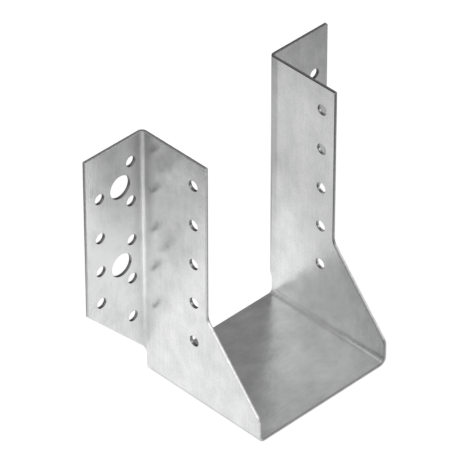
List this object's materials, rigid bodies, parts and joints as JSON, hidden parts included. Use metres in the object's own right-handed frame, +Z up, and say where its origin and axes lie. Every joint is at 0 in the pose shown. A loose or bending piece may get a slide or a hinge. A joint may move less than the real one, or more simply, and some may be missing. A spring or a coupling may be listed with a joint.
{
  "type": "joist hanger",
  "caption": "Face-fixed joist hanger folded from galvanised sheet: a U-shaped seat with outward flanges, punched for nails and bolts.",
  "frame": {"origin": "under the middle of the seat, level with its underside", "axes": "+X across the joist, +Y back to the header beam, +Z up"},
  "size_m": [0.138, 0.069, 0.1245],
  "materials": {
    "galvanised_steel": "hot-dip galvanised sheet, satin"
  },
  "bodies": {
    "root": {"joist_hanger": "galvanised_steel"}
  },
  "joints": []
}
